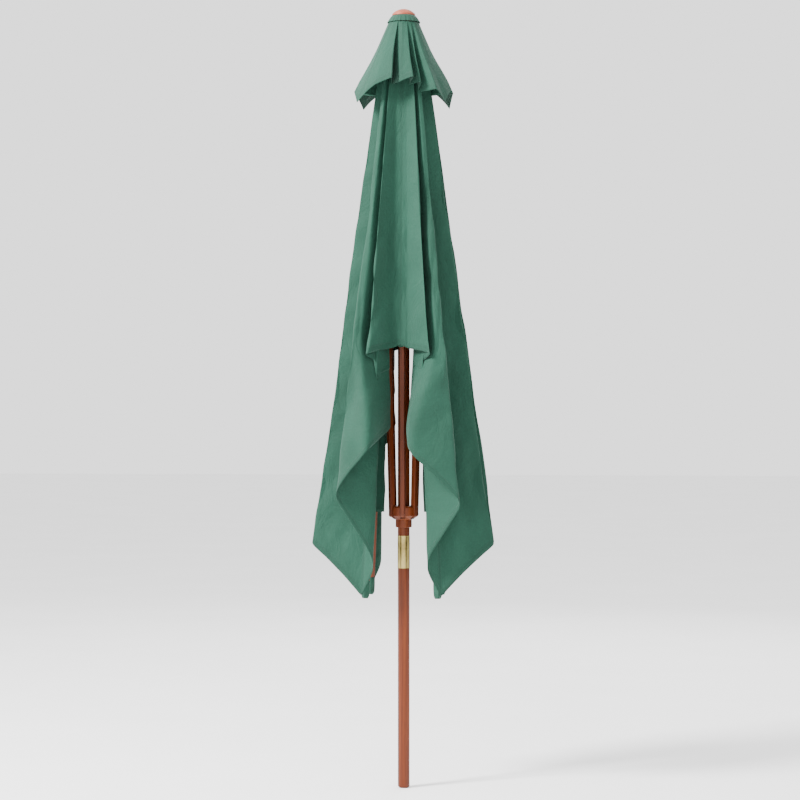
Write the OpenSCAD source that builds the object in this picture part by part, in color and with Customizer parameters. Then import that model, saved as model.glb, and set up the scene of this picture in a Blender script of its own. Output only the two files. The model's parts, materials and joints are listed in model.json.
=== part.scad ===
// Rectangular garden parasol on a two-piece wooden pole, shown folded.
// Origin: centre of the pole's bottom end. +Z runs up the pole, +X along the canopy's long side.

/* [Pole] */
// Total height, from the pole's foot to the top of the finial
total_h = 2500; // [2400:10:2700]
// Outer radius of the pole
pole_r = 19; // [18:0.5:22]
// Height at which the two pole pieces meet
split_h = 757; // [700:1:780]
// Length of the brass ferrule
ferrule_len = 104; // [90:2:110]
// Depth of the lower pole's spigot inside the ferrule
spigot_len = 51; // [30:1:51]

/* [Frame] */
// Height of the rib pivots in the top hub
hub_pivot_z = 2425; // [2400:1:2430]
// Distance of the rib and strut pivots from the pole's axis
pivot_r = 42; // [41:0.5:43]
// Length of a strut, pivot to pivot, and of the rib above its bracket
link_len = 774; // [750:1:775]
// Angle of that link line from the pole when folded
folded_deg = 1.6; // [1.5:0.1:2]
// Length of the four corner ribs from their pivot
corner_rib_len = 1800; // [1700:10:1820]
// Length of the two middle ribs from their pivot
middle_rib_len = 1000; // [950:10:1100]
// Width of a rib across the rib's plane
rib_w = 16; // [14:0.5:16]
// Depth of a rib
rib_d = 20; // [18:0.5:20]
// Width of a strut
strut_w = 16; // [14:0.5:16]
// Depth of a strut
strut_d = 18; // [16:0.5:18]

/* [Turned parts] */
// Radius of the slotted crowns of the hub and runner
crown_r = 47; // [47:0.5:48]
// Radius of the finial's dome
finial_r = 37; // [34:0.5:40]
// Height of the finial's dome
finial_h = 23; // [20:1:26]

/* [Canopy] */
// Canopy long side, open
canopy_long = 3000; // [2800:50:3200]
// Canopy short side, open
canopy_short = 2000; // [1900:50:2200]
// Radius of the folded fabric's crests at hub height
crest_r0 = 62; // [60:1:70]
// Outward slope of the crests going down
crest_slope = 0.147; // [0.12:0.001:0.16]
// Height of the lowest crest point on the short sides
end_hem_z = 841; // [800:1:900]
// Height of the long side's crest next to a corner rib
side_hem_z = 965; // [900:1:1050]
// Height of the long side's crest next to a middle rib
middle_hem_z = 1100; // [1050:10:1200]
// Height of the vent's hem at the middle ribs
vent_middle_z = 2262; // [2240:1:2290]
// Height of the vent's hem at the corner ribs
vent_corner_z = 2212; // [2190:1:2240]
// Height of the vent's hem between the ribs
vent_gore_z = 2248; // [2230:1:2280]

/* [Hidden] */
$fn = 96;

fit_gap = 0.05;            // radial running clearance of every pin and of the spigot
slide_gap = 0.1;           // radial clearance of the runner on the pole
side_gap = 0.5;            // clearance beside a rib or strut in its slot
wedge_gap = 0.5;           // half the gap between neighbouring fabric panels
pin_r = 2.5;
edge_r = 2;                // rounding of the wooden bars

wood = [0.52, 0.26, 0.16];
light_wood = [0.80, 0.42, 0.30];
brass = [0.72, 0.62, 0.36];
steel = [0.75, 0.76, 0.78];
green = [0.25, 0.50, 0.40];
dark_green = [0.20, 0.42, 0.34];

// Ribs 1 and 4 are the middle ones, at the centres of the long sides; the rest reach the corners.
corner_deg = atan(canopy_short / canopy_long);
AZIMUTHS = [270, 360 - corner_deg, corner_deg, 90, 180 - corner_deg, 180 + corner_deg];
function is_middle(k) = (k == 1 || k == 4);
function rib_len(k) = is_middle(k) ? middle_rib_len : corner_rib_len;
function end_side(k) = (k == 2 || k == 5) ? 1 : -1;   // side on which a corner rib's short edge lies
long_half_deg = (90 - corner_deg) / 2;                // half angle of a long-side gore
end_half_deg = corner_deg;                            // half angle of a short-side gore

strut_end_d = strut_d - 1;                            // a strut's depth, and its round ends
bar_off = rib_d / 2 + strut_d / 2 + 1;                // rib centreline outside the bracket pivot
bar_deg = atan(bar_off / link_len);
rib_deg = folded_deg + bar_deg;                       // a rib's own angle from the pole, folded
bracket_r = pivot_r + link_len * sin(folded_deg);
bracket_z = hub_pivot_z - link_len * cos(folded_deg);
runner_pivot_z = hub_pivot_z - 2 * link_len * cos(folded_deg);
open_deg = 70;
runner_open_z = hub_pivot_z - 2 * link_len * cos(open_deg);

end_half_d = 8.6;                                     // half depth of a rib's narrowed pivot end
slot_floor_r = pivot_r - end_half_d - 2;
pin_half = 12.5;                                      // half length of a pivot pin
neck_len = 30;                                        // length of a rib's narrowed inner side
pole_top_z = hub_pivot_z + 12;                        // top of the pole, inside the hub
hub_low_z = hub_pivot_z - 30;
shoulder_z = hub_pivot_z + 21;
finial_peg_r = 8;
screw_r = 1.6;
screw_head_r = 3;
ferrule_wall = 0.5;                                   // half the tube's wall, let into the pole
ferrule_pin_r = 1.25;
finial_z = total_h - finial_h;
hub_top_z = finial_z - 3;
collar_z = 849;                                       // height of the lock pin in the runner
collar_low_z = 836;
collar_r = 26;
runner_crown_z = 863;                                 // underside of the runner's slotted crown
lock_travel = 20;
lock_pin_r = 3;
lock_head_r = 5;
lock_head_h = 6;
canopy_drop = 180;                                    // top of the folded panels below the pivots
canopy_fold = 7;                                      // thickness of a folded stack of fabric
vent_drop = 17;
vent_fold = 3;
vent_r0 = 52;                                         // radius of the vent's fabric at hub height

function rib_out_r(z) = pivot_r + (hub_pivot_z - z) * tan(rib_deg) + rib_d / 2 / cos(rib_deg);

// ---- pole ----

module lower_pole() {
    foot_r = 8;
    color(wood) rotate_extrude() {
        translate([pole_r - foot_r, foot_r]) intersection() {
            circle(foot_r);
            translate([0, -foot_r]) square(foot_r);
        }
        square([pole_r - foot_r, foot_r]);
        translate([0, foot_r]) square([pole_r, split_h - ferrule_len / 2 - foot_r]);
        translate([0, foot_r])
            square([pole_r - ferrule_wall - fit_gap, split_h - foot_r - ferrule_len / 2 + spigot_len]);
    }
}

module upper_pole() {
    ferrule_top = split_h + ferrule_len / 2;
    color(wood) difference() {
        union() {
            translate([0, 0, ferrule_top]) cylinder(r = pole_r, h = pole_top_z - ferrule_top);
            translate([0, 0, split_h]) cylinder(r = pole_r - ferrule_wall, h = ferrule_top - split_h + 1);
        }
        for (z = [collar_z, collar_z + runner_open_z - runner_pivot_z])
            translate([0, pole_r - lock_travel + 2, z]) rotate([-90, 0, 0])
                cylinder(r = lock_pin_r + 0.5, h = lock_travel + 2);
    }
}

module ferrule_pin_places() {
    for (a = [0, 180]) rotate([0, 0, a]) translate([0, 0, split_h + ferrule_len / 4])
        rotate([0, 90, 0]) children();
}

module brass_ferrule() {
    color(brass) difference() {
        translate([0, 0, split_h - ferrule_len / 2]) rotate_extrude()
            translate([pole_r - ferrule_wall, 0]) square([2 * ferrule_wall, ferrule_len]);
        ferrule_pin_places() cylinder(r = ferrule_pin_r, h = pole_r + 3);
    }
}

module ferrule_pins() {
    color(brass) ferrule_pin_places() translate([0, 0, pole_r - ferrule_wall])
        cylinder(r = ferrule_pin_r, h = 2 * ferrule_wall + 0.3);
}

// ---- hub and runner ----

// Cuts a slot and its pin bore at each rib's azimuth, with the pivot at height z.
module crown_cuts(z, low, high) {
    for (a = AZIMUTHS) rotate([0, 0, a]) {
        translate([slot_floor_r, -rib_w / 2 - side_gap, low])
            cube([crown_r, rib_w + 2 * side_gap, high - low]);
        translate([pivot_r, -pin_half, z]) rotate([-90, 0, 0]) cylinder(r = pin_r, h = 2 * pin_half);
    }
}

module top_hub() {
    color(wood) difference() {
        rotate_extrude() union() {
            translate([0, hub_low_z]) square([crown_r - 3, shoulder_z - hub_low_z]);
            translate([0, hub_low_z + 4]) square([crown_r, shoulder_z - hub_low_z - 4]);
            polygon([[0, shoulder_z], [crown_r, shoulder_z], [crown_r - 3, shoulder_z + 6],
                     [30, hub_top_z - 6], [27, hub_top_z], [0, hub_top_z]]);
        }
        translate([0, 0, hub_low_z - 1]) cylinder(r = pole_r, h = pole_top_z - hub_low_z + 1);
        translate([0, 0, hub_pivot_z]) cylinder(r = finial_peg_r, h = total_h - hub_pivot_z);
        crown_cuts(hub_pivot_z, hub_low_z - 1, pole_top_z);
        hub_screw_places() cylinder(r = screw_r, h = 8);
    }
}

module hub_screw_places() {
    for (a = [0, 180]) rotate([0, 0, a]) translate([crown_r - 2, 0, hub_pivot_z - 18])
        rotate([0, -90, 0]) children();
}

module hub_screws() {
    color(steel) hub_screw_places() {
        cylinder(r = screw_r, h = 8);
        translate([0, 0, -3]) cylinder(r = screw_head_r, h = 3);
    }
}

module pivot_pins(z) {
    for (a = AZIMUTHS) rotate([0, 0, a]) translate([pivot_r, -pin_half, z])
        rotate([-90, 0, 0]) cylinder(r = pin_r, h = 2 * pin_half);
}

module hub_pins() { color(steel) pivot_pins(hub_pivot_z); }

module finial() {
    color(light_wood) {
        translate([0, 0, finial_z]) rotate_extrude() {
            dome_r = (pow(finial_r, 2) + pow(finial_h - 7, 2)) / (2 * (finial_h - 7));
            square([finial_r - 3, 3]);
            translate([0, 2]) square([finial_r, 5]);
            intersection() {
                translate([0, finial_h - dome_r]) circle(dome_r);
                translate([0, 6.9]) square([finial_r, finial_h]);
            }
        }
        translate([0, 0, pole_top_z + 2]) cylinder(r = finial_peg_r, h = finial_z - pole_top_z - 1);
    }
}

module vent_crown() {
    color(green) rotate_extrude()
        polygon([[crown_r + 3, hub_pivot_z + 24], [36, finial_z - 0.5], [10, finial_z - 0.5],
                 [10, hub_top_z + 0.5], [28, hub_top_z + 0.5], [31, hub_top_z - 5],
                 [crown_r + 0.5, hub_pivot_z + 24]]);
}

module runner() {
    crown_high = runner_pivot_z + 27;
    color(wood) difference() {
        rotate_extrude() difference() {
            union() {
                polygon([[0, collar_low_z], [collar_r - 1.5, collar_low_z], [collar_r, collar_low_z + 1.5],
                         [collar_r, runner_crown_z - 3], [collar_r + 7, runner_crown_z],
                         [0, runner_crown_z]]);
                polygon([[0, runner_crown_z], [collar_r + 7, runner_crown_z],
                         [crown_r, runner_crown_z + 11], [crown_r, crown_high - 5],
                         [crown_r - 4, crown_high], [0, crown_high]]);
            }
            translate([0, collar_low_z - 1])
                square([pole_r + slide_gap, crown_high - collar_low_z + 2]);
        }
        crown_cuts(runner_pivot_z, runner_pivot_z - 13, crown_high + 1);
        translate([0, 0, collar_z]) rotate([-90, 0, 0]) cylinder(r = lock_pin_r + fit_gap, h = 40);
    }
}

module runner_pins() { color(steel) pivot_pins(runner_pivot_z); }

// The lock pin is drawn back at rest; pushed in, it enters the pole under the raised runner.
module lock_pin() {
    tip = pole_r + 1.5;
    color(steel) translate([0, tip, collar_z]) rotate([-90, 0, 0]) {
        cylinder(r1 = lock_pin_r - 1, r2 = lock_pin_r, h = 1);
        translate([0, 0, 1]) cylinder(r = lock_pin_r, h = lock_travel + lock_head_h);
        translate([0, 0, lock_travel + lock_head_h]) cylinder(r = lock_head_r, h = lock_head_h);
    }
}

// ---- ribs, brackets and struts ----

// Puts children in rib k's own frame: origin at its hub pivot, Z down the link line, X outward.
module in_rib(k) {
    rotate([0, 0, AZIMUTHS[k - 1]]) translate([pivot_r, 0, hub_pivot_z])
        rotate([0, 180 - folded_deg, 0]) mirror([1, 0, 0]) children();
}

// Bar of width w and depth d along +Z with a round end at the origin.
module bar(w, d, length) {
    translate([0, -w / 2, 0]) rotate([-90, 0, 0]) cylinder(d = d, h = w);
    linear_extrude(length) hull() for (x = [-1, 1], y = [-1, 1])
        translate([x * (d / 2 - edge_r), y * (w / 2 - edge_r)]) circle(edge_r, $fn = 16);
}

module rib(k) {
    color(wood) difference() {
        in_rib(k) difference() {
            rotate([0, bar_deg, 0]) intersection() {
                bar(rib_w, rib_d, rib_len(k));
                translate([-rib_d, -rib_w, -rib_d]) cube([2 * rib_d, 2 * rib_w, rib_len(k) + rib_d]);
            }
            translate([-rib_d, -rib_w, -rib_d])
                cube([rib_d - end_half_d, 2 * rib_w, rib_d + neck_len]);
            translate([end_half_d, -rib_w, -rib_d]) cube([rib_d, 2 * rib_w, rib_d + 6]);
            translate([-rib_d, -rib_w, -rib_d]) cube([2 * rib_d, 2 * rib_w, rib_d - end_half_d]);
            translate([0, -rib_w, 0]) rotate([-90, 0, 0]) cylinder(r = pin_r + fit_gap, h = 2 * rib_w);
        }
    }
}

// Brass fork screwed under the rib; the strut's upper end turns between its two cheeks.
module bracket(k) {
    cheek = 1.5;
    cheek_r = 7;
    half = strut_w / 2 + side_gap;
    color(brass) in_rib(k) translate([0, 0, link_len]) difference() {
        union() {
            for (s = [-1, 1]) translate([0, s * (half + cheek / 2), 0]) {
                rotate([90, 0, 0]) cylinder(r = cheek_r, h = cheek, center = true);
                translate([0, -cheek / 2, -cheek_r]) cube([bar_off, cheek, 2 * cheek_r]);
            }
            translate([strut_d / 2 + 0.35, -half - cheek, -2 * cheek_r])
                cube([0.6, 2 * (half + cheek), 4 * cheek_r]);
        }
        rotate([90, 0, 0]) cylinder(r = pin_r, h = 40, center = true);
        rotate([0, bar_deg, 0]) translate([bar_off - rib_d / 2, -rib_w / 2, -200])
            cube([rib_d, rib_w, 400]);
    }
}

module bracket_pin(k) {
    color(brass) in_rib(k) translate([0, 0, link_len]) rotate([90, 0, 0]) {
        cylinder(r = pin_r, h = strut_w + 5, center = true);
        for (s = [-1, 1]) translate([0, 0, s * (strut_w / 2 + 2.75)])
            cylinder(r = 4, h = 1.5, center = true);
    }
}

module strut(k) {
    color(wood) rotate([0, 0, AZIMUTHS[k - 1]]) translate([pivot_r, 0, runner_pivot_z])
        rotate([0, folded_deg, 0]) difference() {
            union() {
                bar(strut_w, strut_end_d, link_len);
                translate([0, -strut_w / 2, link_len]) rotate([-90, 0, 0])
                    cylinder(d = strut_end_d, h = strut_w);
            }
            for (z = [0, link_len]) translate([0, 0, z]) rotate([90, 0, 0])
                cylinder(r = pin_r + fit_gap, h = 2 * strut_w, center = true);
        }
}

// ---- fabric ----

// Closed wing of folded fabric, from a spine line above the rib to a crest line on mid-gore.
// Each end is [z at spine, z at crest]; half is the gore's half angle; thick is the folded stack.
module wing(side, half, top, low, spine_r, edge_r_at, thick) {
    function corner(z, r, a, inset) =
        [(r - inset) * cos(a), side * ((r - inset) * sin(a) - (a > 0 ? wedge_gap : 0)), z];
    function ring(z) = [corner(z[0], spine_r(z[0]), 0, 0), corner(z[0], spine_r(z[0]) + thick, 0, 0),
                        corner(z[1], edge_r_at(z[1]), half, 0),
                        corner(z[1], edge_r_at(z[1]), half, 2 * thick)];
    hull() polyhedron(concat(ring(top), ring(low)),
        [[0, 1, 2], [0, 2, 3], [4, 6, 5], [4, 7, 6], [0, 5, 1], [0, 4, 5],
         [1, 6, 2], [1, 5, 6], [2, 7, 3], [2, 6, 7], [3, 4, 0], [3, 7, 4]]);
}

module canopy_panel(k) {
    tip_z = hub_pivot_z - (rib_len(k) + 10) * cos(rib_deg);
    top = [hub_pivot_z - canopy_drop, hub_pivot_z - canopy_drop];
    spine = function(z) rib_out_r(z) + 0.6;
    crest = function(z) crest_r0 + crest_slope * (hub_pivot_z - z);
    color(green) rotate([0, 0, AZIMUTHS[k - 1]]) {
        if (is_middle(k)) {
            for (s = [-1, 1])
                wing(s, long_half_deg, top, [tip_z, middle_hem_z], spine, crest, canopy_fold);
        } else {
            wing(end_side(k), end_half_deg, top, [tip_z, end_hem_z], spine, crest, canopy_fold);
            wing(-end_side(k), long_half_deg, top, [tip_z, side_hem_z], spine, crest, canopy_fold);
        }
    }
}

module vent_panel(k) {
    // The panel starts below the pivots, so that it stays in its own wedge as it swings out.
    top = [hub_pivot_z - vent_drop, hub_pivot_z - vent_drop];
    spine_slope = is_middle(k) ? 0.38 : 0.52;
    spine = function(z) vent_r0 + (hub_pivot_z - z) * spine_slope;
    crest = function(z) vent_r0 + (hub_pivot_z - z) * 0.32;
    color(dark_green) rotate([0, 0, AZIMUTHS[k - 1]]) for (s = [-1, 1]) {
        half = (!is_middle(k) && s == end_side(k)) ? end_half_deg : long_half_deg;
        wing(s, half, top, [is_middle(k) ? vent_middle_z : vent_corner_z, vent_gore_z],
             spine, crest, vent_fold);
    }
}

lower_pole();
upper_pole();
brass_ferrule();
ferrule_pins();
top_hub();
hub_screws();
hub_pins();
finial();
vent_crown();
runner();
runner_pins();
lock_pin();
for (k = [1:6]) {
    rib(k);
    bracket(k);
    bracket_pin(k);
    strut(k);
    canopy_panel(k);
    vent_panel(k);
}
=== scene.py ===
import json
import math

import bpy
import numpy as np
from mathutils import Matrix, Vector

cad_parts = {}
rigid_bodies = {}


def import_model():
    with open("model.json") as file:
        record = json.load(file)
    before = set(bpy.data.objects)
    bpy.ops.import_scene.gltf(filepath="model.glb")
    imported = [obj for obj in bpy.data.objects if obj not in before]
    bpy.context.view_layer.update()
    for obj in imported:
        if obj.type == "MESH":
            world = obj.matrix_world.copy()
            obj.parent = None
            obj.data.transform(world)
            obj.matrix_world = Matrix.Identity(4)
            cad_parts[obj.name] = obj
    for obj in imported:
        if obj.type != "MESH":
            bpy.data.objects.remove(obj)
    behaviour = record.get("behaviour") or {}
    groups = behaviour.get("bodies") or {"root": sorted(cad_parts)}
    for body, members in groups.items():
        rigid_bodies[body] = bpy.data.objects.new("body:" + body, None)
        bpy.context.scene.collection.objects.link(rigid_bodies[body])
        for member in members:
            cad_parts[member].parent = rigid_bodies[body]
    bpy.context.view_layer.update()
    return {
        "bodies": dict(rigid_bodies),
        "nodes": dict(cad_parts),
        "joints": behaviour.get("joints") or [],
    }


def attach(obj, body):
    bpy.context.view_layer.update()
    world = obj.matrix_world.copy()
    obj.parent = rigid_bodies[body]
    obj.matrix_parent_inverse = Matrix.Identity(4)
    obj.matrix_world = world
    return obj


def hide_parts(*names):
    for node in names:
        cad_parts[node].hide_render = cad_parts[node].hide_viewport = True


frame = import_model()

# ---------------------------------------------------------------- sizes, from the frame

HINGES = {j["child"]: j for j in frame["joints"] if j["child"].startswith("rib_")}
HUB_Z = HINGES["rib_1"]["pos_m"][2]
PIVOT_R = math.hypot(*HINGES["rib_1"]["pos_m"][:2])
OPEN_ANGLE = math.radians(HINGES["rib_1"]["range_deg"][1])
RIB_DEPTH = 0.020
RIB_TILT = math.radians(3.08)        # a folded rib's angle from the pole
CORNER_LEN = 1.810                    # cloth from the hub pivots to a corner's tip
MIDDLE_LEN = 1.010                    # and to a middle rib's tip
CORNER_AZ = math.atan2(2.0, 3.0)
VIEW_TURN = math.radians(5.5)          # the camera looks at the long side from this far round

# Ribs in order of azimuth: (body number, azimuth, whether it is a middle one)
RIBS = [
    (3, CORNER_AZ, False),
    (4, math.pi / 2, True),
    (5, math.pi - CORNER_AZ, False),
    (6, math.pi + CORNER_AZ, False),
    (1, 3 * math.pi / 2, True),
    (2, 2 * math.pi - CORNER_AZ, False),
]


# ---------------------------------------------------------------- camera

def make_camera():
    distance = 7.2
    frame_width = 2.570                # metres across the picture at the pole
    centre_z = 1.2445
    side = -0.012
    data = bpy.data.cameras.new("camera")
    data.sensor_width = 36.0
    data.lens = data.sensor_width * distance / frame_width
    data.clip_end = 100.0
    cam = bpy.data.objects.new("camera", data)
    bpy.context.scene.collection.objects.link(cam)
    azimuth = -math.pi / 2 + VIEW_TURN
    right = Vector((-math.sin(azimuth), math.cos(azimuth), 0))
    cam.location = Vector((math.cos(azimuth), math.sin(azimuth), 0)) * distance + right * side
    cam.location.z = centre_z
    cam.rotation_euler = (math.pi / 2, 0, azimuth + math.pi / 2)
    bpy.context.scene.camera = cam


make_camera()


# ---------------------------------------------------------------- materials

class Nodes:
    """A small helper that makes one Principled material."""

    def __init__(self, name):
        self.material = bpy.data.materials.new(name)
        self.material.use_nodes = True
        self.tree = self.material.node_tree
        self.shader = self.tree.nodes["Principled BSDF"]

    def add(self, kind, inputs=None, **settings):
        node = self.tree.nodes.new(kind)
        for key, value in settings.items():
            setattr(node, key, value)
        for key, value in (inputs or {}).items():
            self.set(node.inputs[key], value)
        return node

    def set(self, socket, value):
        if isinstance(value, bpy.types.NodeSocket):
            self.tree.links.new(value, socket)
        else:
            socket.default_value = value

    def math(self, operation, *values):
        node = self.add("ShaderNodeMath", operation=operation)
        for socket, value in zip(node.inputs, values):
            self.set(socket, value)
        return node.outputs[0]

    def noise(self, vector, scale, detail=4.0, roughness=0.55, distortion=0.0):
        return self.add("ShaderNodeTexNoise", {"Vector": vector, "Scale": scale, "Detail": detail,
                        "Roughness": roughness, "Distortion": distortion}).outputs["Fac"]

    def stretch(self, vector, scale):
        return self.add("ShaderNodeMapping", {"Vector": vector, "Scale": scale}).outputs[0]

    def ramp(self, fac, stops):
        node = self.add("ShaderNodeValToRGB", {"Fac": fac})
        elements = node.color_ramp.elements
        while len(elements) < len(stops):
            elements.new(0.5)
        for element, (at, colour) in zip(elements, stops):
            element.position = at
            element.color = (*colour, 1.0)
        return node.outputs[0]

    def mix(self, fac, a, b, blend="MIX"):
        node = self.add("ShaderNodeMix", data_type="RGBA", blend_type=blend)
        self.set(node.inputs[0], fac)
        self.set(node.inputs[6], a)
        self.set(node.inputs[7], b)
        return node.outputs[2]

    def bump(self, height, distance, strength=1.0, normal=None):
        inputs = {"Height": height, "Distance": distance, "Strength": strength}
        if normal is not None:
            inputs["Normal"] = normal
        return self.add("ShaderNodeBump", inputs).outputs[0]

    def finish(self, **sockets):
        for name, value in sockets.items():
            self.set(self.shader.inputs[name.replace("_", " ")], value)
        return self.material


def wood(name, dark, middle, light, grain=(70, 70, 2.2), gloss=0.42):
    """Stained hardwood: long grain streaks, fine pores, a few darker bands, worn lighter patches."""
    m = Nodes(name)
    place = m.add("ShaderNodeTexCoord").outputs["Object"]
    streaks = m.noise(m.stretch(place, grain), 1.0, 6, 0.6, 0.6)
    bands = m.noise(m.stretch(place, (grain[0] / 4, grain[1] / 4, grain[2] / 5)), 1.0, 3, 0.5, 1.2)
    pores = m.noise(m.stretch(place, (900, 900, 26)), 1.0, 2, 0.5)
    wear = m.noise(place, 9.0, 4, 0.6)
    colour = m.ramp(streaks, [(0.28, dark), (0.50, middle), (0.74, light)])
    shade = m.ramp(bands, [(0.30, (0.62, 0.60, 0.58)), (0.65, (1.0, 1.0, 1.0))])
    colour = m.mix(0.75, colour, shade, "MULTIPLY")
    pore_mask = m.ramp(pores, [(0.30, (0.45, 0.42, 0.40)), (0.42, (1, 1, 1))])
    colour = m.mix(0.6, colour, pore_mask, "MULTIPLY")
    worn = m.ramp(wear, [(0.62, (0, 0, 0)), (0.78, (1, 1, 1))])
    colour = m.mix(m.math("MULTIPLY", worn, 0.25), colour, (*light, 1))
    rough = m.math("ADD", m.math("MULTIPLY", streaks, 0.22), gloss - 0.10)
    height = m.math("ADD", m.math("MULTIPLY", streaks, 0.6), m.math("MULTIPLY", pores, 0.5))
    normal = m.bump(height, 0.0006, 0.55)
    return m.finish(Base_Color=colour, Roughness=rough, Normal=normal, Coat_Weight=0.03,
                    Coat_Roughness=0.30, Specular_IOR_Level=0.22)


def metal(name, colour, tint, rough, brushed=(30, 30, 900)):
    """Metal with turning marks, finger smudges and slight tarnish."""
    m = Nodes(name)
    place = m.add("ShaderNodeTexCoord").outputs["Object"]
    marks = m.noise(m.stretch(place, brushed), 1.0, 3)
    smudge = m.noise(place, 22.0, 5, 0.6, 0.4)
    base = m.ramp(smudge, [(0.35, tint), (0.62, colour)])
    roughness = m.math("ADD", m.math("MULTIPLY", smudge, 0.22), rough - 0.08)
    return m.finish(Base_Color=base, Metallic=1.0, Roughness=roughness,
                    Normal=m.bump(marks, 0.0002, 0.35))


def fabric(name, dark, light, stitch_colour):
    """Plain-weave polyester. The cloth attribute holds (across, along, distance from hem) in metres,
    the seam attribute the distance from the seam over the rib, and the spot attribute a place in
    space for the broad patches and creases."""
    thread_pitch, stitch_pitch, stitch_half = 0.0011, 0.0042, 0.0007
    hem_stitch_at, seam_stitch_at = 0.018, 0.006
    hem_fold_width, seam_fold_width = 0.020, 0.008
    m = Nodes(name)
    cloth = m.add("ShaderNodeAttribute", attribute_name="cloth").outputs["Vector"]
    parts = m.add("ShaderNodeSeparateXYZ", {0: cloth})
    across, along, hem = parts.outputs
    seam = m.add("ShaderNodeAttribute", attribute_name="seam").outputs["Fac"]
    spot = m.add("ShaderNodeAttribute", attribute_name="spot").outputs["Vector"]
    flat = m.add("ShaderNodeCombineXYZ", {"X": across, "Y": along, "Z": 0.0}).outputs[0]
    threads = 2 * math.pi / thread_pitch
    warp = m.math("SINE", m.math("MULTIPLY", across, threads))
    weft = m.math("SINE", m.math("MULTIPLY", along, threads))
    weave = m.math("MULTIPLY", warp, weft)
    slubs = m.noise(m.stretch(flat, (260, 14, 1)), 1.0, 3)
    slubs_across = m.noise(m.stretch(flat, (14, 260, 1)), 1.0, 3)
    patch = m.noise(spot, 3.2, 5, 0.6, 0.5)
    creases = m.noise(spot, 7.5, 6, 0.65, 1.6)
    colour = m.ramp(patch, [(0.30, dark), (0.72, light)])
    for thick_threads, tone in ((slubs, (0.72, 0.74, 0.73)), (slubs_across, (0.76, 0.78, 0.77))):
        shade = m.ramp(thick_threads, [(0.3, tone), (0.7, (1, 1, 1))])
        colour = m.mix(0.30, colour, shade, "MULTIPLY")

    def band(value, centre, half):
        off = m.math("ABSOLUTE", m.math("SUBTRACT", value, centre))
        return m.math("LESS_THAN", off, half)

    def dashed(value):
        wave = m.math("SINE", m.math("MULTIPLY", value, 2 * math.pi / stitch_pitch))
        return m.math("GREATER_THAN", wave, -0.45)

    dashes_across = dashed(across)
    dashes_along = dashed(along)
    hem_stitch = m.math("MULTIPLY", band(hem, hem_stitch_at, stitch_half), dashes_across)
    seam_stitch = m.math("MULTIPLY", band(seam, seam_stitch_at, stitch_half), dashes_along)
    stitch = m.math("MAXIMUM", hem_stitch, seam_stitch)
    hem_fold = m.math("LESS_THAN", hem, hem_fold_width)
    seam_fold = m.math("LESS_THAN", seam, seam_fold_width)
    doubled = m.math("MAXIMUM", hem_fold, seam_fold)
    colour = m.mix(m.math("MULTIPLY", doubled, 0.35), colour, (*[c * 0.72 for c in dark], 1))
    colour = m.mix(m.math("MULTIPLY", stitch, 0.8), colour, (*stitch_colour, 1))
    height = m.math("ADD", m.math("MULTIPLY", creases, 9.0), m.math("MULTIPLY", slubs, 0.6))
    height = m.math("ADD", height, m.math("MULTIPLY", doubled, 1.2))
    height = m.math("SUBTRACT", height, m.math("MULTIPLY", stitch, 0.9))
    normal = m.bump(height, 0.0009, 0.75)
    normal = m.bump(weave, 0.00012, 0.6, normal)
    rough = m.math("ADD", m.math("MULTIPLY", slubs, 0.12), 0.72)
    return m.finish(Base_Color=colour, Roughness=rough, Normal=normal, Sheen_Weight=0.12,
                    Sheen_Roughness=0.45, Sheen_Tint=(0.62, 0.95, 0.82, 1), Specular_IOR_Level=0.25)


STAINED = wood("stained_hardwood", (0.060, 0.0090, 0.0015), (0.122, 0.0225, 0.0040),
               (0.185, 0.041, 0.009))
TURNED = wood("turned_hardwood", (0.070, 0.0115, 0.0020), (0.145, 0.0280, 0.0053), (0.215, 0.052, 0.012),
              grain=(46, 46, 5), gloss=0.46)
# The finial gets a much paler copy of the hardwood: painted highlight that stands in for the strong
# light on the top cap
PAINTED_HIGHLIGHT_WOOD = wood("finial_hardwood", (0.24, 0.050, 0.026), (0.34, 0.085, 0.045), (0.42, 0.125, 0.070),
            grain=(50, 50, 30), gloss=0.50)
BRASS = metal("ferrule_brass", (0.50, 0.40, 0.15), (0.28, 0.21, 0.07), 0.32)
STEEL = metal("zinc_steel", (0.66, 0.66, 0.67), (0.45, 0.45, 0.46), 0.33, (400, 400, 400))
GREEN = fabric("green_polyester", (0.0065, 0.044, 0.026), (0.012, 0.066, 0.041), (0.013, 0.064, 0.040))


def finish_cad_nodes():
    for name, obj in frame["nodes"].items():
        if name in ("top_hub", "runner"):
            material = TURNED
        # the finial takes the paler wood, whose paleness is painted highlight
        elif name == "finial":
            material = PAINTED_HIGHLIGHT_WOOD
        elif name.startswith(("brass", "ferrule", "bracket")):
            material = BRASS
        elif name.endswith(("pins", "screws")) or name.startswith("lock_pin"):
            material = STEEL
        elif name.startswith(("canopy", "vent")):
            material = GREEN
        else:
            material = STAINED
        obj.data.materials.clear()
        obj.data.materials.append(material)


finish_cad_nodes()


# ---------------------------------------------------------------- cloth shapes

def flat_hem(theta, spread, len_a, len_b):
    """Distance of the straight hem from the apex, at angle theta of a flat gore."""
    return len_a * len_b * np.sin(spread) / (len_a * np.sin(theta) + len_b * np.sin(spread - theta))


def direction(azimuth, tilt):
    """Unit vector at an azimuth, tilted out from straight down."""
    out = math.sin(tilt)
    return np.array([out * math.cos(azimuth), out * math.sin(azimuth), -math.cos(tilt)])


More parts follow.
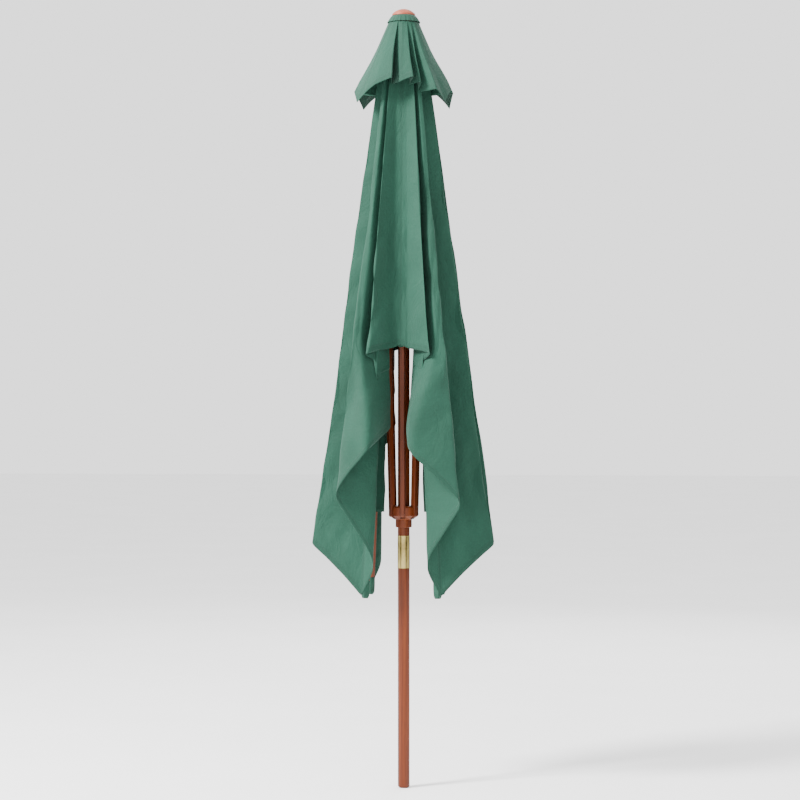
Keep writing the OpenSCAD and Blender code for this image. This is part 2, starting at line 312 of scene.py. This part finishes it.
def smooth(values, sigma):
    """Gaussian smoothing along the first axis, holding the two ends."""
    reach = int(3 * sigma) + 1
    kernel = np.exp(-0.5 * (np.arange(-reach, reach + 1) / sigma) ** 2)
    kernel /= kernel.sum()
    first, last = values[:1], values[-1:]
    before = 2 * first - values[reach:0:-1]
    after = 2 * last - values[-2:-reach - 2:-1]
    padded = np.concatenate([before, values, after])
    return np.apply_along_axis(lambda column: np.convolve(column, kernel, "valid"), 0, padded)


def step(value, low, high):
    """Goes smoothly from 0 to 1 as value goes from low to high."""
    t = min(1.0, max(0.0, (value - low) / (high - low)))
    return t * t * (3 - 2 * t)


def sway(rho, phase, wave):
    """A slow, uneven wandering between -1 and 1 along a fold."""
    return np.sin(rho * wave + phase) * 0.6 + np.sin(rho * wave * 2.3 + phase * 1.7) * 0.4


# A gore's folds: share of the cloth, kind, then the share of the azimuth high up and low down, then
# the size high up and low down. A crest's size is a share of the tier's crest radius, and a valley's
# how fast it moves away from the pole. A tuck's is a share of the radius over the ribs.
RIB, CREST, VALLEY, TUCK = range(4)
END_FOLDS = [
    (0.00, RIB, 0.00, 0.00, 1.00, 1.00), (0.165, CREST, 0.34, 0.34, 1.02, 1.00),
    (0.26, VALLEY, 0.24, 0.20, 0.60, 0.80), (0.36, CREST, 0.42, 0.42, 0.94, 0.90),
    (0.47, VALLEY, 0.485, 0.48, 0.10, 0.00), (0.53, VALLEY, 0.515, 0.52, 0.10, 0.00),
    (0.64, CREST, 0.58, 0.58, 0.94, 0.90), (0.74, VALLEY, 0.76, 0.80, 0.60, 0.80),
    (0.835, CREST, 0.66, 0.66, 1.02, 1.00), (1.00, RIB, 1.00, 1.00, 1.00, 1.00),
]
LONG_FOLDS = [
    (0.00, RIB, 0.00, 0.00, 1.00, 1.00), (0.10, TUCK, 0.24, 0.26, 1.05, 1.05),
    (0.25, CREST, 0.49, 0.66, 1.00, 1.00), (0.34, VALLEY, 0.44, 0.44, 0.50, 0.50),
    (0.42, CREST, 0.51, 0.50, 0.82, 0.66), (0.50, VALLEY, 0.52, 0.38, 0.40, 0.50),
    (0.575, CREST, 0.56, 0.42, 0.82, 0.62), (0.645, VALLEY, 0.58, 0.32, 0.50, 0.60),
    (0.73, CREST, 0.64, 0.37, 0.96, 0.98), (0.84, CREST, 0.78, 0.83, 1.00, 1.00),
    (0.955, TUCK, 0.86, 0.58, 1.02, 0.95), (1.00, RIB, 1.00, 1.00, 1.00, 1.00),
]
SWEPT_FOLDS = [
    (0.00, RIB, 0.00, 0.00, 1.00, 1.00), (0.10, TUCK, 0.24, 0.24, 1.05, 1.05),
    (0.25, CREST, 0.49, 0.63, 1.00, 1.00), (0.34, VALLEY, 0.44, 0.36, 0.50, 0.50),
    (0.42, CREST, 0.51, 0.42, 0.82, 0.64), (0.50, VALLEY, 0.52, 0.24, 0.40, 0.50),
    (0.575, CREST, 0.56, 0.26, 0.80, 0.60), (0.645, VALLEY, 0.58, 0.14, 0.50, 0.60),
    (0.73, CREST, 0.64, 0.17, 0.94, 0.90), (0.86, CREST, 0.78, 0.77, 1.00, 1.00),
    (0.955, TUCK, 0.86, 0.58, 1.02, 0.95), (1.00, RIB, 1.00, 1.00, 1.00, 1.00),
]
VENT_FOLDS = [
    (0.00, RIB, 0.00, 0.00, 1.00, 1.00), (0.27, CREST, 0.34, 0.36, 1.00, 1.08),
    (0.50, VALLEY, 0.50, 0.50, 0.50, 0.30), (0.73, CREST, 0.66, 0.66, 1.00, 1.08),
    (1.00, RIB, 1.00, 1.00, 1.00, 1.00),
]
VENT_SMOOTH_FOLDS = [
    (0.00, RIB, 0.00, 0.00, 1.00, 1.00), (0.28, CREST, 0.38, 0.40, 1.00, 1.04),
    (0.54, CREST, 0.72, 0.82, 1.00, 1.04), (0.76, VALLEY, 0.58, 0.52, 0.60, 0.40),
    (1.00, RIB, 1.00, 1.00, 1.00, 1.00),
]
VENT_LOOSE_FOLDS = [
    (0.00, RIB, 0.00, 0.00, 1.00, 1.00), (0.22, CREST, 0.30, 0.32, 0.98, 1.02),
    (0.38, VALLEY, 0.32, 0.30, 0.60, 0.40), (0.55, CREST, 0.54, 0.56, 0.94, 0.96),
    (0.69, VALLEY, 0.64, 0.66, 0.70, 0.50), (0.83, CREST, 0.78, 0.80, 1.00, 1.06),
    (1.00, RIB, 1.00, 1.00, 1.00, 1.00),
]


def mirrored(folds):
    return [(1 - share, kind, 1 - high, 1 - low, size_high, size_low)
            for share, kind, high, low, size_high, size_low in reversed(folds)]


class Canopy:
    """The main tier, which starts below the hub and covers the ribs to their tips."""
    name, panel = "canopy_cloth", "canopy_panel"
    folds = [mirrored(LONG_FOLDS), LONG_FOLDS, END_FOLDS, mirrored(LONG_FOLDS), SWEPT_FOLDS, END_FOLDS]
    middle, corner, neck = MIDDLE_LEN, CORNER_LEN, 0.120
    apex = 0.0                             # flat cloth between the true apex and distance zero
    top_r, top_z = PIVOT_R, HUB_Z
    tilt = RIB_TILT + OPEN_ANGLE
    lift = (RIB_DEPTH / 2 + 0.005) / math.sin(tilt)
    sag = 0.030
    blend = (0.95, 1.35)                   # distances between which high folds become low ones
    rows, wrinkles, seed = 72, 0.006, 40

    @staticmethod
    def rib_radius(rho, length):
        return PIVOT_R + rho * math.sin(RIB_TILT) + RIB_DEPTH / 2 + 0.0015

    @staticmethod
    def crest_radius(rho):
        return 0.062 + 0.147 * rho

    @staticmethod
    def valley_radius(rho, size):
        return 0.057 + 0.026 * rho * size

    @staticmethod
    def looseness(rho):
        return min(1.3, max(0.0, (rho - 0.15) / 1.0))


class Vent:
    """The small upper tier, sewn into the crown and hanging free over the main one."""
    name, panel = "vent_cloth", "vent_panel"
    folds = [VENT_FOLDS] * 3 + [VENT_SMOOTH_FOLDS, VENT_LOOSE_FOLDS, VENT_FOLDS]
    middle, corner, neck = 0.215, 0.290, 0.0
    apex = 0.050
    top_r, top_z = 0.050, 2.4540
    tilt = math.radians(78)
    lift = 0.0
    sag = 0.020
    blend = (0.08, 0.22)
    rows, wrinkles, seed = 30, 0.016, 60

    @staticmethod
    def rib_radius(rho, length):
        return Vent.top_r + rho * (0.41 if length > 0.25 else 0.33)

    @staticmethod
    def crest_radius(rho):
        return Vent.top_r + 0.40 * rho

    @staticmethod
    def valley_radius(rho, size):
        return Vent.top_r + 0.17 * rho * size + 0.03 * rho

    @staticmethod
    def looseness(rho):
        return min(1.0, rho / 0.25)


COLUMNS = 104                          # across a gore
FINE = 416                             # samples that a gore's section is smoothed on
SECTION_BLUR = 4.6                     # how far the smoothing reaches, in those samples
CREST_SWAY = 0.020                     # how far folds wander: a crest, as a share of its radius
VALLEY_SWAY = 0.004                    # a valley, in metres
TURN_SWAY = 0.030                      # the azimuth of either, in radians
CLEAR_HALF, CLEAR_FADE = 0.018, 0.007  # half-width lifted off a rib, and how much of it fades
WAVES = ((0.34, 1.0), (0.19, 0.6), (0.10, 0.35), (0.055, 0.16))   # wrinkles: length, strength
WAVES_EACH = 4                         # waves of each length


def fold_point(tier, fold, rho, length, az_a, az_b, phase):
    """Where one fold lies at rest, seen from above, at distance rho along the cloth."""
    _, kind, turn_high, turn_low, size_high, size_low = fold
    low = step(rho, *tier.blend)
    turn = turn_high + (turn_low - turn_high) * low
    size = size_high + (size_low - size_high) * low
    angle = az_a + (az_b - az_a) * turn
    free = tier.looseness(rho)
    if kind == RIB:
        radius = tier.rib_radius(rho, length)
    elif kind == TUCK:
        radius = tier.rib_radius(rho, length) * size
    elif kind == CREST:
        radius = tier.crest_radius(rho) * (1 + (size - 1) * min(1, 0.4 + free))
        radius *= 1 + CREST_SWAY * free * float(sway(rho, phase, 3.1))
    else:
        wander = VALLEY_SWAY * free * (1 + float(sway(rho, phase, 2.6)))
        radius = tier.valley_radius(rho, size) + wander
    if kind != RIB:
        angle += TURN_SWAY * free * float(sway(rho, phase + 1.0, 2.9))
    return radius * math.cos(angle), radius * math.sin(angle)


def clear_rib(line, rho, azimuth, near):
    """Lifts the cloth beside a rib off the rib's outer corners; near is how much each point counts."""
    outward = np.array([math.cos(azimuth), math.sin(azimuth)])
    radial = line @ outward
    lateral = np.abs(line @ np.array([-outward[1], outward[0]]))
    beside = np.clip((CLEAR_HALF - lateral) / CLEAR_FADE, 0, 1)
    missing = np.maximum(Canopy.rib_radius(rho, 0) - radial, 0)
    return line + (missing * beside * near)[:, None] * outward


def gore(i, tier):
    """Rest and open points (rows, columns, 3), the cloth's own coordinates, the distance from the
    nearer rib's seam, and the flat width at each point, for gore i of a tier."""
    (_, az_a, middle_a), (_, az_b, middle_b) = RIBS[i], RIBS[(i + 1) % 6]
    if az_b < az_a:
        az_b += 2 * math.pi
    len_a = tier.middle if middle_a else tier.corner
    len_b = tier.middle if middle_b else tier.corner
    a, b = direction(az_a, tier.tilt), direction(az_b, tier.tilt)
    spread = math.acos(float(a @ b))
    folds = tier.folds[i]
    share = np.array([f[0] for f in folds])
    fine = np.linspace(0, 1, FINE + 1)
    pick = np.linspace(0, FINE, COLUMNS + 1).round().astype(int)
    s = fine[pick]
    hem_fine = flat_hem(fine * spread, spread, len_a + tier.apex, len_b + tier.apex) - tier.apex
    rest = np.zeros((tier.rows + 1, COLUMNS + 1, 3))
    opened, cloth = np.zeros_like(rest), np.zeros_like(rest)
    seam, width = np.zeros(rest.shape[:2]), np.zeros(rest.shape[:2])
    for r, row in enumerate(np.linspace(0, 1, tier.rows + 1)):
        rho_fine = tier.neck + (hem_fine - tier.neck) * row
        rho_fold = np.interp(share, fine, rho_fine)
        section = np.array([fold_point(tier, fold, rho_fold[n], len_a if n == 0 else len_b, az_a, az_b,
                                       1.9 * n + 2.7 * i) for n, fold in enumerate(folds)])
        line = np.stack([np.interp(fine, share, section[:, c]) for c in (0, 1)], 1)
        line = smooth(line, SECTION_BLUR)[pick]
        rho = rho_fine[pick]
        if tier is Canopy:
            line = clear_rib(line, rho, az_a, s < 0.12)
            line = clear_rib(line, rho, az_b, s > 0.96)
        out_by = np.maximum(np.hypot(line[:, 0], line[:, 1]) - tier.top_r, 0)
        rest[r, :, :2] = line
        drop_squared = rho ** 2 - np.minimum(out_by, 0.9 * rho) ** 2
        rest[r, :, 2] = tier.top_z - np.sqrt(np.maximum(drop_squared, 0))
        from_a, from_b = np.sin((1 - s) * spread)[:, None], np.sin(s * spread)[:, None]
        weight = (from_a * a + from_b * b) / math.sin(spread)
        out = weight[:, :2] / np.linalg.norm(weight[:, :2], axis=1)[:, None]
        opened[r] = rho[:, None] * weight
        opened[r, :, :2] += tier.top_r * out
        opened[r, :, 2] += tier.top_z + tier.lift - tier.sag * np.sin(math.pi * s) * rho * row
        width[r] = (rho + tier.apex) * spread
        cloth[r, :, 0] = width[r] * s
        cloth[r, :, 1] = rho
        cloth[r, :, 2] = (hem_fine[pick] - rho) * 0.95
        seam[r] = width[r] * np.minimum(s, 1 - s)
    return wrinkle(rest, cloth, seam, tier.wrinkles, tier.seed + i), opened, cloth, seam, width


def wrinkle(points, cloth, seam, amount, seed):
    """Soft dents and pulls in folded cloth: a few crossing waves, dying out at the rib seams."""
    rng = np.random.default_rng(seed)
    u, v = cloth[..., 0], cloth[..., 1]
    height = np.zeros(u.shape)
    for size, share in WAVES:
        for _ in range(WAVES_EACH):
            angle = rng.uniform(-0.6, 0.6) + math.pi / 2 * rng.integers(0, 2)
            phase = rng.uniform(0, 2 * math.pi)
            bend = rng.uniform(0.5, 1.5)
            across = u * math.cos(angle) + v * math.sin(angle)
            wave = 2 * math.pi * across / size + phase + bend * np.sin(v * 5 + u * 3)
            height += share / WAVES_EACH * np.sin(wave)
    du = np.gradient(points, axis=1)
    dv = np.gradient(points, axis=0)
    normal = np.cross(du, dv)
    normal /= np.maximum(np.linalg.norm(normal, axis=2, keepdims=True), 1e-9)
    hold = np.clip(seam / 0.10, 0, 1) * np.clip((v - 0.15) / 0.5, 0.15, 1)
    hold[0] = 0
    return points + normal * (height * hold * amount)[..., None]


def polar(points, azimuth):
    """(azimuth from the rib, tilt from straight down, distance) about the ring of hub pivots."""
    angle = np.arctan2(points[..., 1], points[..., 0]) - azimuth
    angle = (angle + math.pi) % (2 * math.pi) - math.pi
    out = np.hypot(points[..., 0], points[..., 1]) - PIVOT_R
    up = HUB_Z - points[..., 2]
    return np.stack([angle, np.arctan2(out, up), np.hypot(out, up)], -1)


# ---------------------------------------------------------------- cloth that opens with its rib

def spread_group(body):
    """Geometry nodes that carry a panel from its folded to its open shape as its rib turns.
    Each point's azimuth, tilt and distance go from the fold attribute to the open attribute in step
    with the rib's angle, and the result is turned back into the rib's own frame."""
    joint = HINGES[body]
    azimuth = math.atan2(joint["pos_m"][1], joint["pos_m"][0])
    group = bpy.data.node_groups.new(f"spread_{body}", "GeometryNodeTree")
    group.interface.new_socket("Geometry", in_out="INPUT", socket_type="NodeSocketGeometry")
    group.interface.new_socket("Geometry", in_out="OUTPUT", socket_type="NodeSocketGeometry")
    add, link = group.nodes.new, group.links.new

    def calc(operation, *values):
        node = add("ShaderNodeMath")
        node.operation = operation
        for socket, value in zip(node.inputs, values):
            if isinstance(value, bpy.types.NodeSocket):
                link(value, socket)
            else:
                socket.default_value = value
        return node.outputs[0]

    def stored(name):
        node = add("GeometryNodeInputNamedAttribute")
        node.data_type = "FLOAT_VECTOR"
        node.inputs["Name"].default_value = name
        return node.outputs["Attribute"]

    info = add("GeometryNodeObjectInfo")
    info.inputs["Object"].default_value = frame["bodies"][body]
    turn = add("FunctionNodeRotationToAxisAngle")
    link(info.outputs["Rotation"], turn.inputs[0])
    angle = turn.outputs["Angle"]
    share = calc("MINIMUM", calc("DIVIDE", angle, OPEN_ANGLE), 1.0)
    blend = add("ShaderNodeMix")
    blend.data_type = "VECTOR"
    link(share, blend.inputs[0])
    link(stored("fold"), blend.inputs[4])
    link(stored("open"), blend.inputs[5])
    parts = add("ShaderNodeSeparateXYZ")
    link(blend.outputs[1], parts.inputs[0])
    around, tilt, distance = parts.outputs
    around = calc("ADD", around, azimuth)
    radius = calc("ADD", calc("MULTIPLY", distance, calc("SINE", tilt)), PIVOT_R)
    place = add("ShaderNodeCombineXYZ")
    link(calc("MULTIPLY", radius, calc("COSINE", around)), place.inputs[0])
    link(calc("MULTIPLY", radius, calc("SINE", around)), place.inputs[1])
    link(calc("SUBTRACT", HUB_Z, calc("MULTIPLY", distance, calc("COSINE", tilt))), place.inputs[2])
    back = add("ShaderNodeVectorRotate")
    back.rotation_type = "AXIS_ANGLE"
    back.inputs["Center"].default_value = joint["pos_m"]
    back.inputs["Axis"].default_value = joint["axis"]
    link(place.outputs[0], back.inputs["Vector"])
    link(calc("MULTIPLY", angle, -1.0), back.inputs["Angle"])
    move = add("GeometryNodeSetPosition")
    source, sink = add("NodeGroupInput"), add("NodeGroupOutput")
    link(source.outputs[0], move.inputs["Geometry"])
    link(back.outputs[0], move.inputs["Position"])
    link(move.outputs[0], sink.inputs[0])
    return group


def grid_mesh(name, points, attributes):
    """A piece of cloth from a grid of points, with named values stored at each one."""
    rows, columns = points.shape[:2]
    index = np.arange(rows * columns).reshape(rows, columns)
    faces = np.stack([index[:-1, :-1], index[:-1, 1:], index[1:, 1:], index[1:, :-1]], -1).reshape(-1, 4)
    mesh = bpy.data.meshes.new(name)
    mesh.from_pydata(points.reshape(-1, 3).tolist(), [], faces.tolist())
    for key, values in attributes.items():
        vector = values.ndim == 3
        layer = mesh.attributes.new(key, "FLOAT_VECTOR" if vector else "FLOAT", "POINT")
        flat = np.ascontiguousarray(values, np.float32).ravel()
        layer.data.foreach_set("vector" if vector else "value", flat)
    mesh.shade_smooth()
    mesh.materials.append(GREEN)
    obj = bpy.data.objects.new(name, mesh)
    bpy.context.scene.collection.objects.link(obj)
    return obj


def thicken(obj, thickness, levels=1):
    """Subdivides a piece by some levels, or none, then gives it a thickness."""
    if levels:
        fine = obj.modifiers.new("fine", "SUBSURF")
        fine.levels = fine.render_levels = levels
    thick = obj.modifiers.new("thick", "SOLIDIFY")
    thick.thickness = thickness
    thick.offset = 0.0


def cloth_area(cloth, apex, angle):
    """Flat area of a panel: half the difference of its squared outer and inner radii, over its angle."""
    square = (cloth[-1, :, 1] + apex) ** 2 - (cloth[0, :, 1] + apex) ** 2
    return float((square[1:] + square[:-1]).sum() / 4 * angle / (cloth.shape[1] - 1))


FAR_FROM_SEAM = 0.1                    # a seam distance at which no seam is drawn
POCKET_LEN, POCKET_START = 0.056, 0.052    # its length, and how far before the cloth's end it starts
POCKET_HALF_DEPTH = RIB_DEPTH / 2 + 0.0009
POCKET_HALF_WIDTH = 0.0091
POCKET_SQUARE = 0.35                   # power that squares its section off: 1 would leave it round
POCKET_CLOSE = 0.35                    # how much narrower it is at the very tip
POCKET_SLACK = 0.0004


def squared(value):
    """One coordinate of a rounded square, from the same coordinate of a circle."""
    return math.copysign(abs(value) ** POCKET_SQUARE, value)


def rib_pocket(number, azimuth, length):
    """The small sewn pocket that holds the canopy on a rib's tip."""
    along = Vector(direction(azimuth, RIB_TILT))
    side = Vector((-math.sin(azimuth), math.cos(azimuth), 0))
    outward = along.cross(side)
    start = Vector((PIVOT_R * math.cos(azimuth), PIVOT_R * math.sin(azimuth), HUB_Z))
    around, rows = 32, 12
    points = np.zeros((rows + 1, around + 1, 3))
    cloth = np.zeros_like(points)
    for r in range(rows + 1):
        t = r / rows
        close = 1 - step(t, 0.86, 1.0) * POCKET_CLOSE
        for c in range(around + 1):
            turn = 2 * math.pi * c / around
            depth = squared(math.cos(turn)) * POCKET_HALF_DEPTH * close
            breadth = squared(math.sin(turn)) * POCKET_HALF_WIDTH * close
            slack = POCKET_SLACK * math.sin(5 * turn + 9 * t)
            centre = start + along * (length - POCKET_START + POCKET_LEN * t)
            points[r, c] = centre + outward * (depth + slack) + side * breadth
            cloth[r, c] = (turn * RIB_DEPTH / 2, POCKET_LEN * t, POCKET_LEN * (1 - t))
    seam = np.full(points.shape[:2], FAR_FROM_SEAM)
    obj = grid_mesh(f"rib_pocket_{number}", points, {"cloth": cloth, "spot": points, "seam": seam})
    thicken(obj, 0.0008, 0)
    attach(obj, f"rib_{number}")
    return obj


def make_tier(tier):
    """One panel for each rib, from the middle of the gore before it to the middle of the next."""
    gores = [gore(i, tier) for i in range(6)]
    half = COLUMNS // 2
    for i, (number, azimuth, middle) in enumerate(RIBS):
        before, after = gores[i - 1], gores[i]
        rest, opened, cloth, seam = (np.concatenate([b[:, half:], a[:, 1:half + 1]], 1)
                                     for b, a in zip(before[:4], after[:4]))
        cloth[:, :half + 1, 0] -= before[4][:, half:]
        body = f"rib_{number}"
        piece = grid_mesh(f"{tier.name}_{number}", rest, {
            "fold": polar(rest, azimuth), "open": polar(opened, azimuth), "cloth": cloth, "seam": seam,
            "spot": opened})
        spreading = piece.modifiers.new("spread", "NODES")
        spreading.node_group = spread_group(body)
        thicken(piece, 0.0007)
        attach(piece, body)
        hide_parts(f"{tier.panel}_{number}")
        angle = (before[4][0, 0] / (before[2][0, 0, 1] + tier.apex)
                 + after[4][0, 0] / (after[2][0, 0, 1] + tier.apex)) / 2
        area = cloth_area(cloth, tier.apex, angle)
        length = tier.middle if middle else tier.corner
        sewn = [rib_pocket(number, azimuth, length)] if tier is Canopy else []


CROWN_TOP_R, CROWN_FLARE = 0.0375, 0.0148    # radius at the top, and how much wider at the bottom
CROWN_TOP_Z, CROWN_FALL = 2.4772, 0.0214
CROWN_LEN = 0.027                      # down the cloth
CROWN_GATHER = 0.0011


def make_crown():
    """The gathered collar of cloth between the vent and the finial."""
    around, rows = 240, 10
    turn = np.linspace(0, 2 * math.pi, around + 1)
    points = np.zeros((rows + 1, around + 1, 3))
    cloth = np.zeros_like(points)
    for r in range(rows + 1):
        t = r / rows
        radius = CROWN_TOP_R + CROWN_FLARE * t ** 0.8
        ripple = np.cos(22 * turn) + 0.5 * np.cos(37 * turn + 1.0)
        gather = CROWN_GATHER * (0.35 + t) * ripple / 1.5
        points[r, :, 0] = (radius + gather) * np.cos(turn)
        points[r, :, 1] = (radius + gather) * np.sin(turn)
        points[r, :, 2] = CROWN_TOP_Z - CROWN_FALL * t
        cloth[r, :, 0] = turn * radius
        cloth[r, :, 1] = CROWN_LEN * t
        cloth[r, :, 2] = FAR_FROM_SEAM
    seam = np.full(points.shape[:2], FAR_FROM_SEAM)
    obj = grid_mesh("vent_crown_cloth", points, {"cloth": cloth, "spot": points, "seam": seam})
    thicken(obj, 0.0008, 0)
    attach(obj, "upper_mast")
    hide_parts("vent_crown")


make_tier(Canopy)
make_tier(Vent)
make_crown()


# ---------------------------------------------------------------- floor and light

def make_stage():
    mesh = bpy.data.meshes.new("floor")
    half = 30.0
    corners = [(-half, -half, 0), (half, -half, 0), (half, half, 0), (-half, half, 0)]
    mesh.from_pydata(corners, [], [(0, 1, 2, 3)])
    floor = bpy.data.objects.new("floor", mesh)
    bpy.context.scene.collection.objects.link(floor)
    m = Nodes("pale_floor")
    place = m.add("ShaderNodeTexCoord").outputs["Object"]
    tone = m.ramp(m.noise(place, 1.5, 3), [(0.3, (0.90, 0.90, 0.90)), (0.7, (0.93, 0.93, 0.93))])
    mesh.materials.append(m.finish(Base_Color=tone, Roughness=0.9, Specular_IOR_Level=0.1))
    world = bpy.data.worlds.new("studio")
    world.use_nodes = True
    background = world.node_tree.nodes["Background"]
    background.inputs["Color"].default_value = (1.0, 1.0, 1.0, 1)
    background.inputs["Strength"].default_value = 1.9
    bpy.context.scene.world = world


def area_light(name, place, target, size, power):
    data = bpy.data.lights.new(name, "AREA")
    data.shape = "RECTANGLE"
    data.size, data.size_y = size
    data.energy = power
    light = bpy.data.objects.new(name, data)
    light.location = place
    light.rotation_euler = (Vector(target) - Vector(place)).to_track_quat("-Z", "Y").to_euler()
    bpy.context.scene.collection.objects.link(light)


make_stage()
area_light("key", (-3.9, -3.0, 5.0), (0, 0, 1.5), (1.3, 1.6), 1250)
area_light("fill", (4.4, -3.6, 2.6), (0, 0, 1.3), (2.6, 3.2), 40)
area_light("back", (1.0, 5.0, 3.6), (0, 0, 1.5), (2.6, 2.6), 140)
